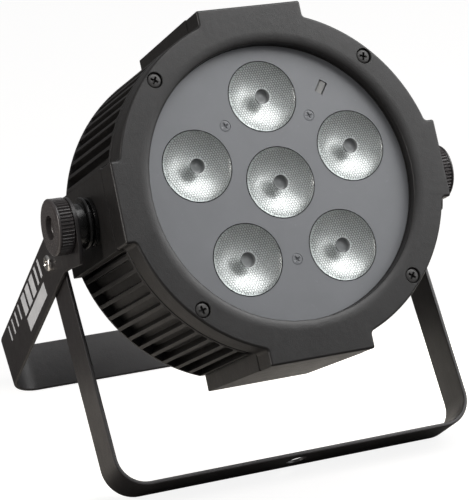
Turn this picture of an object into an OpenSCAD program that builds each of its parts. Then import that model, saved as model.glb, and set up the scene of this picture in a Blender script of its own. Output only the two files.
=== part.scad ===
// Par can light: a round six-lens LED head on a folding two-legged stand.
// Millimetres, +Z up. The lenses face -Y and the two clamp knobs lie along X.

/* [Stand] */
// Backward lean of the rear bracket's legs, degrees from vertical
rear_leg_angle = 42.7; // [38:0.1:46]
// Half of the rear bracket's outside width
rear_half = 101.2; // [101.2:0.1:101.4]
// Knob axis to the outer face of the rear bracket's bar
rear_reach = 166; // [165:0.5:170]
// Width of the rear bracket's strip
rear_strip = 27.5; // [26:0.5:28]
// Outside bend radius of the rear bracket
rear_bend = 18; // [12:0.5:20]
// Half of the front bracket's outside width
front_half = 98.9; // [98.7:0.1:98.9]
// Hinge screw to the outer face of the front bracket's bar
front_reach = 124; // [122:0.5:125]
// Width of the front bracket's strip
front_strip = 23.5; // [22:0.5:24]
// Outside bend radius of the front bracket
front_bend = 16; // [10:0.5:18]
// Thickness of both bracket strips
strip_thick = 2; // [1.8:0.1:2]
// Distance from the knob axis to the front bracket's hinge screws
hinge_drop = 38; // [36:0.5:39]
// Radius of the clamp-bolt hole in both bars
clamp_hole_r = 5.5; // [4:0.25:6.5]

/* [Head] */
// Upward tilt of the lenses, degrees
head_tilt = 29.7; // [0:0.1:45]
// Outer radius of the round part of the bezel
bezel_r = 85.7; // [85:0.1:86]
// Depth of the bezel, front to back
bezel_depth = 15; // [14:0.5:15]
// Half-width of the top and bottom lugs
tall_lug_half = 28.3; // [26:0.1:30]
// Knob axis to the outer face of the top and bottom lugs
tall_lug_reach = 89.3; // [88.5:0.1:90]
// Half-height of the side lugs
wide_lug_half = 20.2; // [18:0.1:22]
// Knob axis to the outer face of the side lugs
wide_lug_reach = 88.3; // [88:0.1:88.3]
// Radius of the panel opening
opening_r = 70.2; // [69:0.1:71]
// Ribs in each quarter of the housing
ribs_per_quarter = 12; // [8:1:12]
// Angle between two ribs, degrees
rib_pitch = 4.8; // [4.6:0.1:4.9]

/* [Lenses] */
// Radius of each lens
lens_r = 18; // [16:0.1:18.2]
// Radius of the ring of five lenses
lens_ring_r = 44; // [43:0.1:45]
// Radius of the hole in the middle of each lens
lens_bore_r = 3.65; // [3:0.05:4]

/* [Knobs] */
// Radius of the clamp knobs
knob_r = 14.3; // [13:0.1:15]
// Flutes round each knob
knob_flutes = 48; // [24:1:52]

/* [Hidden] */
$fn = 96;
eps = 0.01;

black = [0.09, 0.085, 0.085];
dark = [0.05, 0.05, 0.05];
grey = [0.36, 0.37, 0.39];
steel = [0.75, 0.75, 0.76];
brass = [0.72, 0.58, 0.32];
clear = [0.9, 0.93, 0.95, 0.5];
board_green = [0.05, 0.3, 0.16];
white = [0.92, 0.92, 0.92];

// stand geometry
axis_z = rear_reach * cos(rear_leg_angle) + rear_strip / 2 * sin(rear_leg_angle);
rear_back = rear_reach * sin(rear_leg_angle) + rear_strip / 2 * cos(rear_leg_angle);
edge_chamfer = 0.8;
face_z = 43;
front_edge = tall_lug_reach - edge_chamfer;
head_front = front_edge * sin(head_tilt) + face_z * cos(head_tilt);
axis_y = (head_front - rear_back) / 2;
hinge_y = axis_y + hinge_drop * sin(rear_leg_angle);
hinge_z = axis_z - hinge_drop * cos(rear_leg_angle);
foot_reach = sqrt(pow(front_reach, 2) + pow(front_strip / 2, 2));
foot_lag = atan(front_strip / 2 / front_reach);
front_leg_angle = acos(hinge_z / foot_reach) + foot_lag;
rear_end_r = 14;

// the small stop tab at the top of each rear arm
tab_foot = -23.4;
tab_step_y = -16.2;
tab_step_z = -15.9;
tab_tip_y = -22.8;
tab_tip_z = 1.3;
tab_top_y = -16.1;
tab_top_z = 7.4;

// head depths, measured forward from the knob axis
bezel_back_z = face_z - bezel_depth;
lip_z = 37.3;
panel_z = 34;
panel_thick = 2.5;
lens_face_z = 37;
rim_z = -41.5;
pad_back_z = -43;
web_back_z = 8;
web_front_z = 12;
plate_z = -36;
plate_thick = 2;
plate_in_z = plate_z + plate_thick;
rib_front_r = 86;
rib_rear_r = 87;
wall_inner_r = 77;
groove_floor_r = 82;
groove_width = 5;
groove_back_z = rim_z + 2;
groove_front_z = 24;
pad_wall = 2.8;
insert_boss = 9;
chamfer_r = 74.8;
chamfer_z = 40;
rebate_r = 75.2;
panel_r = 74.6;

// fastenings of the head
bezel_screw_ring = 80.6;
bezel_screw_r = 1.6;
bezel_screw_seat = 39.8;
screw_play = 0.05;
sink_r = 3.95;
sink_head_r = 3.5;
post_ring = 39;
post_angles = [54, 126, 270];
post_r = 3.5;
window_ring = 55.8;
window_angle = 54;
window_long = 7;
window_wide = 4.5;
plate_screw_ring = 73;
plate_screws = 6;
plate_r = 76.7;
boss_r = 3.8;
m3_r = 1.5;

// pivot stack, outward from the side lug
insert_r = 6;
insert_len = 10;
stud_r = 4;
stud_fit = 0.06;
arm_inner = rear_half - strip_thick;
joint_gap = 0.3;
spacer_out = arm_inner - joint_gap;
knob_in = rear_half + joint_gap;
knob_len = 8.4;
knob_out = knob_in + knob_len;
knob_recess_r = 5.9;
stud_in = wide_lug_reach - insert_len + joint_gap;

// hinge screws of the front bracket
pin_r = 2.5;
pin_fit = 0.05;
pin_head_r = 4.25;
pin_head_h = 2.6;
nut_flats = 8;
nut_h = 3;
nut_top = front_half - strip_thick - joint_gap;

// back plate layout
mains_x = 28;
mains_y = -31;
mains_flange = 50;
mains_flange_w = 22.5;
mains_body = [27, 19.4];
mains_hole_x = 20;
mains_depth = 20;
flange_thick = 2.6;
data_x = 46;
data_y = 14;
data_flange = [26, 31];
data_r = 11.8;
data_depth = 20;
data_hole = [9.5, 12];
fuse_y = -60;
usb_y = 2;
usb_size = [13.1, 5.8];
usb_depth = 13;
display_y = 43;
display_size = [36, 14];
button_y = 26;
button_pitch = 12;
button_r = 3.1;
button_play = 0.3;
button_travel = 0.5;
button_face_z = -37.9;
eye_y = 65;
eye_screw_x = 9.6;
eye_arch_half = 5.6;
eye_rise = 4.6;
eye_metal = 1.2;
eye_wide = 8;
control_z = -24;
board_thick = 1.6;
board_z = 1.6;

// ---- frames: every piece is drawn where its group stands ----

module head_frame() {
    translate([0, axis_y, axis_z])
        rotate([90 - head_tilt, 0, 0])
            children();
}

module rear_frame() {
    translate([0, axis_y, axis_z])
        rotate([rear_leg_angle, 0, 0])
            children();
}

module front_frame() {
    translate([0, hinge_y, hinge_z])
        rotate([-front_leg_angle, 0, 0])
            children();
}

// turns a shape drawn along +Z so that it points along +X (side 1) or -X (side -1)
module sideways(side) {
    rotate([0, 90 * side, 0])
        children();
}

// turns a shape drawn along +Z so that it points out of the back plate
module out_back(x, y, z) {
    translate([x, y, z])
        rotate([0, 180, 0])
            children();
}

// ---- shared shapes ----

module cross_recess(span, slot, depth) {
    for (turn = [0, 90])
        rotate([0, 0, turn])
            translate([-span / 2, -slot / 2, -depth])
                cube([span, slot, depth + 1]);
}

// a pan-head screw: the head stands on z = 0, the shank runs down from it
module pan_screw(head_r, head_h, shank_r, length) {
    edge = head_h * 0.35;
    difference() {
        union() {
            cylinder(r = head_r, h = head_h - edge);
            translate([0, 0, head_h - edge])
                cylinder(r1 = head_r, r2 = head_r - edge * 1.6, h = edge);
        }
        translate([0, 0, head_h])
            cross_recess(head_r * 1.25, head_r * 0.26, head_h * 0.55);
    }
    translate([0, 0, -length])
        cylinder(r = shank_r, h = length);
}

// a flat side profile [forward, up] made into a slab across the head
module slab_across(half, points) {
    translate([-half, 0, 0])
        rotate([90, 0, 90])
            linear_extrude(2 * half)
                polygon(points);
}

module lens_spots() {
    children();
    for (k = [0:4])
        rotate([0, 0, 90 + 72 * k])
            translate([lens_ring_r, 0, 0])
                rotate([0, 0, -90 - 72 * k])
                    children();
}

module post_spots() {
    for (a = post_angles)
        rotate([0, 0, a])
            translate([post_ring, 0, 0])
                children();
}

module bezel_screw_spots() {
    for (a = [45:90:315])
        rotate([0, 0, a])
            translate([bezel_screw_ring, 0, 0])
                children();
}

module plate_screw_spots() {
    for (k = [0:plate_screws - 1])
        rotate([0, 0, k * 360 / plate_screws])
            translate([plate_screw_ring, 0, 0])
                children();
}

module mains_spots() {
    for (side = [-1, 1])
        translate([side * mains_x, mains_y, 0])
            children();
}

module data_spots() {
    for (side = [-1, 1])
        translate([side * data_x, data_y, 0])
            children();
}

// ---- stand ----

module strip_outline(half, reach, bend, top) {
    translate([-half, -reach + bend])
        square([2 * half, reach - bend + top]);
    translate([-half + bend, -reach])
        square([2 * (half - bend), bend + eps]);
    for (side = [-1, 1])
        translate([side * (half - bend), -reach + bend])
            circle(r = bend);
}

module bent_strip(half, reach, bend, width) {
    rotate([90, 0, 0])
        linear_extrude(width, center = true)
            difference() {
                strip_outline(half, reach, bend, 0);
                strip_outline(half - strip_thick, reach - strip_thick, bend - strip_thick, 1);
            }
}

module arm_disc(half, side, r) {
    translate([side * (half - strip_thick), 0, 0])
        sideways(side)
            cylinder(r = r, h = strip_thick);
}

module arm_hole(half, side, r) {
    translate([side * (half - strip_thick - 1), 0, 0])
        sideways(side)
            cylinder(r = r, h = strip_thick + 2);
}

module stop_tab(side) {
    translate([side * (rear_half - strip_thick / 2) - strip_thick / 2, 0, 0])
        rotate([90, 0, 90])
            linear_extrude(strip_thick)
                polygon([
                    [-rear_strip / 2, tab_foot],
                    [0, tab_foot],
                    [0, rear_end_r - 1],
                    [tab_top_y, tab_top_z],
                    [tab_tip_y, tab_tip_z],
                    [tab_step_y, tab_step_z]
                ]);
}

module rear_bracket() {
    color(black)
        rear_frame()
            difference() {
                union() {
                    bent_strip(rear_half, rear_reach, rear_bend, rear_strip);
                    for (side = [-1, 1]) {
                        arm_disc(rear_half, side, rear_end_r);
                        stop_tab(side);
                    }
                }
                for (side = [-1, 1]) {
                    arm_hole(rear_half, side, stud_r + stud_fit);
                    translate([0, 0, -hinge_drop])
                        arm_hole(rear_half, side, pin_r + pin_fit);
                }
                translate([0, 0, -rear_reach - 1])
                    cylinder(r = clamp_hole_r, h = strip_thick + 2);
            }
}

// a plain printed pattern of bars on the left arm
module bracket_graphic() {
    ink = 0.05;
    bar_far = 11.5;
    color(white)
        rear_frame()
            translate([-rear_half - ink, 0, 0]) {
                for (k = [0:3])
                    translate([0, bar_far - 8.5, -132 + 8.4 * k])
                        cube([ink, 8.5, 2.2]);
                for (k = [0:2])
                    translate([0, bar_far - 11, -98 + 10.4 * k])
                        cube([ink, 11, 7.4]);
                for (k = [0:1])
                    translate([0, bar_far - 10, -65 + 7.8 * k])
                        cube([ink, 10, 3]);
                translate([0, -9, -97])
                    cube([ink, 7.6, 41]);
            }
}

module hinge_screws() {
    shank = rear_half - nut_top + nut_h + 1;
    color(steel)
        rear_frame()
            for (side = [-1, 1])
                translate([side * rear_half, 0, -hinge_drop])
                    sideways(side)
                        pan_screw(pin_head_r, pin_head_h, pin_r, shank);
}

module hinge_nuts() {
    color(steel)
        rear_frame()
            for (side = [-1, 1])
                translate([side * nut_top, 0, -hinge_drop])
                    sideways(-side)
                        difference() {
                            cylinder(r = nut_flats / 2 / cos(30), h = nut_h, $fn = 6);
                            translate([0, 0, -1])
                                cylinder(r = pin_r, h = nut_h + 2);
                        }
}

module front_bracket() {
    color(black)
        front_frame()
            difference() {
                union() {
                    bent_strip(front_half, front_reach, front_bend, front_strip);
                    for (side = [-1, 1])
                        arm_disc(front_half, side, front_strip / 2);
                }
                for (side = [-1, 1])
                    arm_hole(front_half, side, pin_r + pin_fit);
                translate([0, 0, -front_reach - 1])
                    cylinder(r = clamp_hole_r, h = strip_thick + 2);
            }
}

// ---- front of the head ----

module lug_profile(half_reach) {
    slab_across(tall_lug_half, [
        [-half_reach, bezel_back_z],
        [half_reach, bezel_back_z],
        [half_reach, face_z - edge_chamfer],
        [half_reach - edge_chamfer, face_z],
        [-half_reach + edge_chamfer, face_z],
        [-half_reach, face_z - edge_chamfer]
    ]);
}

module wide_lugs() {
    rotate([90, 0, 0])
        translate([0, 0, -wide_lug_half])
            linear_extrude(2 * wide_lug_half)
                polygon([
                    [-wide_lug_reach, bezel_back_z],
                    [wide_lug_reach, bezel_back_z],
                    [wide_lug_reach, face_z - edge_chamfer],
                    [wide_lug_reach - edge_chamfer, face_z],
                    [-wide_lug_reach + edge_chamfer, face_z],
                    [-wide_lug_reach, face_z - edge_chamfer]
                ]);
}

module bezel() {
    color(black)
        head_frame()
            difference() {
                union() {
                    translate([0, 0, bezel_back_z])
                        cylinder(r = bezel_r, h = bezel_depth - edge_chamfer);
                    translate([0, 0, face_z - edge_chamfer])
                        cylinder(r1 = bezel_r, r2 = bezel_r - edge_chamfer, h = edge_chamfer);
                    lug_profile(tall_lug_reach);
                    wide_lugs();
                }
                translate([0, 0, bezel_back_z - 1])
                    cylinder(r = rebate_r, h = lip_z - bezel_back_z + 1);
                cylinder(r = opening_r, h = face_z + 1);
                translate([0, 0, chamfer_z])
                    cylinder(r1 = opening_r, r2 = chamfer_r, h = face_z - chamfer_z + eps);
                bezel_screw_spots() {
                    translate([0, 0, bezel_back_z - 1])
                        cylinder(r = bezel_screw_r + 0.3, h = bezel_depth + 2);
                    translate([0, 0, bezel_screw_seat])
                        cylinder(r = sink_r, h = bezel_depth);
                }
            }
}

module bezel_screws() {
    color(dark)
        head_frame()
            bezel_screw_spots()
                translate([0, 0, bezel_screw_seat])
                    rotate([0, 0, -25])
                        pan_screw(sink_head_r, 2.4, bezel_screw_r, 24);
}

module bezel_gasket() {
    color(dark)
        head_frame()
            translate([0, 0, panel_z + panel_thick])
                difference() {
                    cylinder(r = panel_r - 0.2, h = lip_z - panel_z - panel_thick);
                    translate([0, 0, -1])
                        cylinder(r = opening_r - 0.4, h = 3);
                }
}

module receiver_spot() {
    rotate([0, 0, window_angle])
        translate([window_ring, 0, 0])
            children();
}

module front_panel() {
    color(grey)
        head_frame()
            difference() {
                translate([0, 0, panel_z])
                    cylinder(r = panel_r, h = panel_thick);
                lens_spots()
                    cylinder(r = lens_r + 0.3, h = lens_face_z);
                post_spots() {
                    cylinder(r = m3_r + 0.2, h = lens_face_z);
                    translate([0, 0, panel_z + panel_thick - 0.9])
                        cylinder(r = 2.9, h = 2);
                }
                receiver_spot()
                    translate([-window_long / 2, -window_wide / 2, panel_z - 1])
                        cube([window_long, window_wide, panel_thick + 2]);
            }
}

module panel_screws() {
    color(grey)
        head_frame()
            post_spots()
                translate([0, 0, panel_z + panel_thick - 0.9]) {
                    difference() {
                        cylinder(r = 2.6, h = 0.8);
                        translate([0, 0, 0.8])
                            cross_recess(3.2, 0.8, 0.5);
                    }
                    translate([0, 0, -8])
                        cylinder(r = m3_r, h = 8 + eps);
                }
}

module panel_posts() {
    color(steel)
        head_frame()
            post_spots()
                translate([0, 0, web_front_z])
                    difference() {
                        cylinder(r = post_r, h = panel_z - web_front_z);
                        translate([0, 0, panel_z - web_front_z - 8])
                            cylinder(r = m3_r, h = 9);
                    }
}

module receiver_window() {
    step = 0.6;
    color(clear)
        head_frame()
            receiver_spot() {
                translate([-window_long / 2 + 0.1, -window_wide / 2 + 0.1, panel_z])
                    cube([window_long - 0.2, window_wide - 0.2, panel_thick - step]);
                translate([-window_long / 2 - 1, -window_wide / 2 - 1, panel_z - step])
                    cube([window_long + 2, window_wide + 2, step]);
            }
}

module receiver_module() {
    color(dark)
        head_frame()
            receiver_spot() {
                translate([-3, -3, panel_z - 7])
                    cube([6, 6, 6]);
                translate([-4, 3, web_front_z + board_thick])
                    cube([8, 1.2, panel_z - web_front_z - board_thick - 1]);
                translate([0, 0, panel_z - 7])
                    rotate([90, 0, 0])
                        cylinder(r = 0.4, h = 6, center = true);
            }
}

module lenses() {
    flange_z = panel_z;
    cone_r = lens_r - 1.4;
    foot_z = 17;
    foot_r = 8;
    color(clear)
        head_frame()
            lens_spots()
                rotate_extrude()
                    polygon([
                        [4, foot_z],
                        [foot_r, foot_z],
                        [cone_r - 2.6, flange_z - 6],
                        [cone_r, flange_z],
                        [lens_r, flange_z],
                        [lens_r, lens_face_z - 0.3],
                        [lens_r - 0.3, lens_face_z],
                        [lens_bore_r, lens_face_z],
                        [lens_bore_r, 27],
                        [0, 27],
                        [0, 23],
                        [3.4, 23]
                    ]);
}

module lens_holders() {
    wall_in = lens_r - 1.1;
    base_z = web_front_z + board_thick;
    color(dark)
        head_frame()
            lens_spots()
                rotate_extrude()
                    polygon([
                        [8.6, base_z],
                        [lens_r + 1, base_z],
                        [lens_r + 1, panel_z],
                        [wall_in, panel_z],
                        [wall_in, panel_z - 2],
                        [11.5, base_z + 3.2],
                        [8.6, base_z + 3.2]
                    ]);
}

module led_emitters() {
    base_z = web_front_z + board_thick;
    color(white)
        head_frame()
            lens_spots()
                translate([0, 0, base_z]) {
                    translate([-3.5, -3.5, 0])
                        cube([7, 7, 1]);
                    intersection() {
                        cylinder(r = 2.6, h = 6);
                        translate([0, 0, 0.4])
                            sphere(r = 2.8);
                    }
                }
}

module led_board() {
    color(white)
        head_frame()
            difference() {
                translate([0, 0, web_front_z])
                    cylinder(r = 68, h = board_thick);
                post_spots()
                    cylinder(r = post_r + 0.4, h = 20);
                for (a = [18:72:306])
                    rotate([0, 0, a + 36])
                        translate([62, 0, 0])
                            cylinder(r = m3_r + 0.2, h = 20);
            }
}

module led_board_screws() {
    color(steel)
        head_frame()
            for (a = [18:72:306])
                rotate([0, 0, a + 36])
                    translate([62, 0, web_front_z + board_thick])
                        pan_screw(2.8, 2, m3_r, 4);
}

// ---- housing ----

module groove(width, back_z, front_z) {
    length = front_z - back_z;
    translate([groove_floor_r, -width / 2, back_z])
        cube([10, width, length]);
    translate([groove_floor_r, 0, front_z])
        rotate([0, 90, 0])
            cylinder(r = width / 2, h = 10);
}

module quarter_grooves() {
    first = -floor(ribs_per_quarter / 2);
    for (k = [first:first + ribs_per_quarter - 2])
        rotate([0, 0, 45 + rib_pitch * (k + 0.5)])
            groove(groove_width, groove_back_z, groove_front_z);
    rotate([0, 0, 45 + rib_pitch * first - 1.55])
        groove(2, groove_back_z, groove_front_z);
}

// the space inside a pair of pads, open to the inside of the housing
module pad_hollow(half, reach, back_z, front_z) {
    translate([pad_wall - half, pad_wall - reach, back_z])
        cube([2 * (half - pad_wall), 2 * (reach - pad_wall), front_z - back_z]);
}

module housing() {
    color(black)
        head_frame()
            difference() {
                union() {
                    difference() {
                        union() {
                            translate([0, 0, rim_z])
                                cylinder(
                                    r1 = rib_rear_r,
                                    r2 = rib_front_r,
                                    h = bezel_back_z - rim_z
                                );
                            translate([-tall_lug_half - 0.3, -tall_lug_reach, pad_back_z])
                                cube([
                                    2 * tall_lug_half + 0.6,
                                    2 * tall_lug_reach,
                                    bezel_back_z - pad_back_z
                                ]);
                            translate([-wide_lug_reach, -wide_lug_half - 0.3, pad_back_z])
                                cube([
                                    2 * wide_lug_reach,
                                    2 * wide_lug_half + 0.6,
                                    bezel_back_z - pad_back_z
                                ]);
                        }
                        translate([0, 0, pad_back_z - 1])
                            cylinder(r = wall_inner_r, h = web_back_z - pad_back_z + 1);
                        translate([0, 0, web_front_z])
                            cylinder(r = wall_inner_r, h = bezel_back_z);
                        pad_hollow(tall_lug_half, tall_lug_reach, plate_in_z, web_back_z);
                        pad_hollow(tall_lug_half, tall_lug_reach, web_front_z, face_z);
                        rotate([0, 0, 90]) {
                            pad_hollow(wide_lug_half, wide_lug_reach, plate_in_z, -insert_boss);
                            pad_hollow(wide_lug_half, wide_lug_reach, web_front_z, face_z);
                        }
                        for (turn_x = [0, 1])
                            for (turn_y = [0, 1])
                                mirror([turn_x, 0, 0])
                                    mirror([0, turn_y, 0])
                                        quarter_grooves();
                    }
                    plate_screw_spots()
                        translate([0, 0, plate_in_z])
                            cylinder(r = boss_r, h = web_back_z - plate_in_z + 1);
                }
                plate_screw_spots()
                    translate([0, 0, plate_in_z - 1])
                        cylinder(r = m3_r + screw_play, h = 11);
                bezel_screw_spots()
                    translate([0, 0, bezel_screw_seat - 25])
                        cylinder(r = bezel_screw_r + screw_play, h = 25);
                for (a = [18:72:306])
                    rotate([0, 0, a + 36])
                        translate([62, 0, web_back_z + 1])
                            cylinder(r = m3_r + screw_play, h = 5);
                for (side = [-1, 1])
                    sideways(side)
                        translate([0, 0, wide_lug_reach - insert_len])
                            cylinder(r = insert_r, h = insert_len + 1);
            }
}

// ---- back plate and what is on it ----

module back_plate() {
    color(black)
        head_frame()
            difference() {
                translate([0, 0, plate_z])
                    cylinder(r = plate_r, h = plate_thick);
                translate([0, 0, plate_z - 1]) {
                    plate_screw_spots()
                        cylinder(r = m3_r + 0.2, h = 4);
                    mains_spots() {
                        translate([-mains_body.x / 2 - 0.3, -mains_body.y / 2 - 0.3, 0])
                            cube([mains_body.x + 0.6, mains_body.y + 0.6, 4]);
                        for (side = [-1, 1])
                            translate([side * mains_hole_x, 0, 0])
                                cylinder(r = m3_r + 0.1, h = 4);
                    }
                    data_spots() {
                        cylinder(r = data_r + 0.3, h = 4);
                        for (side = [-1, 1])
                            translate([side * data_hole.x, side * data_hole.y, 0])
                                cylinder(r = m3_r + 0.1, h = 4);
                    }
                    translate([0, fuse_y, 0])
                        cylinder(r = 6.6, h = 4);
                    translate([-usb_size.x / 2 - 0.2, usb_y - usb_size.y / 2 - 0.2, 0])
                        cube([usb_size.x + 0.4, usb_size.y + 0.4, 4]);
                    translate([-display_size.x / 2, display_y - display_size.y / 2, 0])
                        cube([display_size.x, display_size.y, 4]);
                    button_spots()
                        cylinder(r = button_r + button_play, h = 4);
                    for (side = [-1, 1])
                        translate([side * eye_screw_x, eye_y, 0])
                            cylinder(r = m3_r + 0.1, h = 4);
                }
            }
}

module back_plate_screws() {
    color(dark)
        head_frame()
            plate_screw_spots()
                translate([0, 0, plate_z])
                    rotate([180, 0, 0])
                        pan_screw(2.8, 2, m3_r, 10);
}

module mains_flange_body() {
    difference() {
        union() {
            linear_extrude(flange_thick) {
                straight = mains_flange - mains_flange_w;
                square([straight, mains_flange_w], center = true);
                for (side = [-1, 1])
                    translate([side * straight / 2, 0])
                        circle(r = mains_flange_w / 2);
            }
            translate([-mains_body.x / 2, -mains_body.y / 2, -mains_depth])
                cube([mains_body.x, mains_body.y, mains_depth + 1]);
        }
        for (side = [-1, 1])
            translate([side * mains_hole_x, 0, -1])
                cylinder(r = m3_r + 0.1, h = flange_thick + 2);
    }
}

// the six-sided plan of a mains connector: a rectangle with two corners cut
module mains_plan(long, wide) {
    cut = wide * 0.3;
    polygon([
        [-long / 2, -wide / 2],
        [long / 2, -wide / 2],
        [long / 2, wide / 2 - cut],
        [long / 2 - cut, wide / 2],
        [-long / 2 + cut, wide / 2],
        [-long / 2, wide / 2 - cut]
    ]);
}

module pin_spots() {
    for (k = [-1:1])
        translate([7 * k, k == 0 ? 2 : -2, 0])
            children();
}

module power_inlet() {
    color(dark)
        head_frame()
            out_back(-mains_x, mains_y, plate_z)
                difference() {
                    mains_flange_body();
                    translate([0, 0, -14.4])
                        linear_extrude(20)
                            mains_plan(24.4, 16.6);
                    pin_spots()
                        translate([-1, -2, -22])
                            cube([2, 4, 22]);
                }
}

module inlet_pins() {
    color(steel)
        head_frame()
            out_back(-mains_x, mains_y, plate_z)
                pin_spots() {
                    translate([-1, -2, -22])
                        cube([2, 4, 21]);
                }
}

module power_outlet() {
    color(dark)
        head_frame()
            out_back(mains_x, mains_y, plate_z)
                difference() {
                    mains_flange_body();
                    translate([0, 0, -14.4])
                        linear_extrude(20)
                            difference() {
                                mains_plan(24.4, 16.6);
                                mains_plan(19.4, 11.8);
                            }
                    pin_spots()
                        translate([-1.2, -2.2, -12])
                            cube([2.4, 4.4, 20]);
                }
}

module socket_screws() {
    color(dark)
        head_frame() {
            for (x = [-mains_x, mains_x])
                for (side = [-1, 1])
                    out_back(x + side * mains_hole_x, mains_y, plate_z - flange_thick)
                        pan_screw(2.7, 1.8, m3_r, 8);
            for (x = [-data_x, data_x])
                for (side = [-1, 1])
                    out_back(x + side * data_hole.x, data_y + side * data_hole.y, plate_z - 1.8)
                        pan_screw(2.7, 1.8, m3_r, 7);
        }
}

module fuse_holder() {
    color(dark)
        head_frame()
            out_back(0, fuse_y, plate_z)
                difference() {
                    union() {
                        cylinder(r = 8, h = 1.6);
                        translate([0, 0, -24])
                            cylinder(r = 6.3, h = 24.5);
                        translate([0, 0, -plate_thick - 3])
                            cylinder(r = 8.4, h = 3, $fn = 6);
                    }
                    translate([0, 0, -20])
                        cylinder(r = 4.2, h = 24);
                    translate([0, 0, -1])
                        cylinder(r = 5.2, h = 4);
                }
}

module fuse_cap() {
    color(dark)
        head_frame()
            out_back(0, fuse_y, plate_z) {
                difference() {
                    translate([0, 0, 1.6 + joint_gap])
                        cylinder(r = 6.2, h = 3);
                    translate([-5, -0.8, 3.7])
                        cube([10, 1.6, 3]);
                }
                translate([0, 0, -18])
                    cylinder(r = 4.12, h = 20);
            }
}

module data_flange_plan() {
    square([data_flange.x, data_flange.y], center = true);
}

module data_body(depth) {
    linear_extrude(1.8)
        data_flange_plan();
    translate([0, 0, -depth])
        cylinder(r = data_r, h = depth + 1);
}

module data_flange_holes() {
    for (side = [-1, 1])
        translate([-side * data_hole.x, side * data_hole.y, -1])
            cylinder(r = m3_r + 0.1, h = 4);
}

module data_pin_spots() {
    for (a = [-90, 0, 180])
        rotate([0, 0, a])
            translate([4.1, 0, 0])
                children();
}

module data_in() {
    color(dark)
        head_frame()
            out_back(-data_x, data_y, plate_z)
                difference() {
                    data_body(data_depth);
                    translate([0, 0, -12])
                        cylinder(r = 9.6, h = 16);
                    data_pin_spots()
                        translate([0, 0, -22])
                            cylinder(r = 1.2, h = 20);
                    data_flange_holes();
                }
}

module data_in_pins() {
    color(steel)
        head_frame()
            out_back(-data_x, data_y, plate_z)
                data_pin_spots()
                    translate([0, 0, -22])
                        cylinder(r = 1.2, h = 21.5);
}

module data_out() {
    color(dark)
        head_frame()
            out_back(data_x, data_y, plate_z)
                difference() {
                    data_body(data_depth);
                    translate([0, 0, -14])
                        difference() {
                            cylinder(r = 9.9, h = 18);
                            translate([0, 0, -1])
                                cylinder(r = 8.1, h = 20);
                        }
                    data_pin_spots()
                        translate([0, 0, -12])
                            cylinder(r = 1.5, h = 16);
                    translate([-3.5, 9, -7])
                        cube([7, 2.8, 12]);
                    data_flange_holes();
                }
}

module latch_tab() {
    color(steel)
        head_frame()
            out_back(data_x, data_y, plate_z)
                translate([-3.2, 9.4, -4.5])
                    cube([6.4, 2, 7.6]);
}

module usb_socket() {
    wall = 0.4;
    color(steel)
        head_frame()
            out_back(0, usb_y, plate_z) {
                difference() {
                    translate([-usb_size.x / 2, -usb_size.y / 2, -usb_depth])
                        cube([usb_size.x, usb_size.y, usb_depth + 0.6]);
                    translate([-usb_size.x / 2 + wall, -usb_size.y / 2 + wall, -usb_depth + 2])
                        cube([usb_size.x - 2 * wall, usb_size.y - 2 * wall, usb_depth]);
                }
                translate([-usb_size.x / 2 + 1, 0.1, -usb_depth + 1])
                    cube([usb_size.x - 2, 1.7, usb_depth - 2]);
            }
}

module display_window() {
    color(clear)
        head_frame()
            translate([-display_size.x / 2 + 0.1, display_y - display_size.y / 2 + 0.1, plate_z])
                cube([display_size.x - 0.2, display_size.y - 0.2, plate_thick]);
}

module display_module() {
    inset = 2.5;
    color(dark)
        head_frame()
            translate([
                -display_size.x / 2 + inset,
                display_y - display_size.y / 2 + 1,
                plate_in_z + 0.1
            ])
                cube([
                    display_size.x - 2 * inset,
                    display_size.y - 2,
                    control_z - plate_in_z - 0.1
                ]);
}

module control_board() {
    color(board_green)
        head_frame()
            translate([-31, 19, control_z])
                cube([62, 35, board_thick]);
}

module button_spots() {
    for (k = [-1.5:1:1.5])
        translate([k * button_pitch, button_y, 0])
            children();
}

module control_switches() {
    body_h = 3.5;
    color(steel)
        head_frame()
            button_spots()
                translate([0, 0, control_z - body_h]) {
                    translate([-3, -3, 0])
                        cube([6, 6, body_h]);
                    translate([0, 0, -0.6])
                        cylinder(r = 1.6, h = 0.7);
                }
}

module control_standoffs() {
    color(steel)
        head_frame()
            for (x = [-28, 28])
                for (y = [22, 51])
                    translate([x, y, plate_in_z])
                        cylinder(r = 2.4, h = control_z - plate_in_z);
}

module button(k) {
    top = 1;
    stem_end = control_z - 4.1 - button_travel - 0.1;
    color(dark)
        head_frame()
            out_back(k * button_pitch, button_y, button_face_z) {
                translate([0, 0, -2 * top])
                    cylinder(r = button_r, h = top);
                translate([0, 0, -top])
                    cylinder(r1 = button_r, r2 = button_r - 0.5, h = top);
                translate([0, 0, button_face_z - stem_end])
                    cylinder(r = button_r, h = stem_end - button_face_z - 2 * top + eps);
                translate([0, 0, button_face_z - stem_end])
                    cylinder(r = button_r + 0.9, h = 1.2);
            }
}

module button_menu() {
    button(-1.5);
}

module button_up() {
    button(-0.5);
}

module button_down() {
    button(0.5);
}

module button_enter() {
    button(1.5);
}

// ---- inside the housing ----

module psu_board() {
    color(board_green)
        head_frame()
            translate([-50, -50, 0])
                cube([100, 66, board_z]);
}

module psu_transformer() {
    color(brass)
        head_frame() {
            translate([-13, -11, -4])
                cube([26, 24, 4]);
            translate([-11, -9, -14])
                cube([22, 20, 10]);
            translate([-13, -11, -17])
                cube([26, 24, 3]);
        }
}

module psu_capacitors() {
    color(dark)
        head_frame() {
            translate([-26, 4, -16])
                cylinder(r = 7, h = 16);
            translate([26, 4, -16])
                cylinder(r = 7, h = 16);
            for (k = [-1:1])
                translate([16 * k, -44, -10])
                    cylinder(r = 4, h = 10);
        }
}

module psu_heatsink() {
    color(steel)
        head_frame() {
            translate([-22, -17, -11])
                cube([44, 2, 11]);
            for (k = [-5:5])
                translate([4 * k - 0.6, -20.2, -11])
                    cube([1.2, 3.3, 10]);
        }
}

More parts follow.
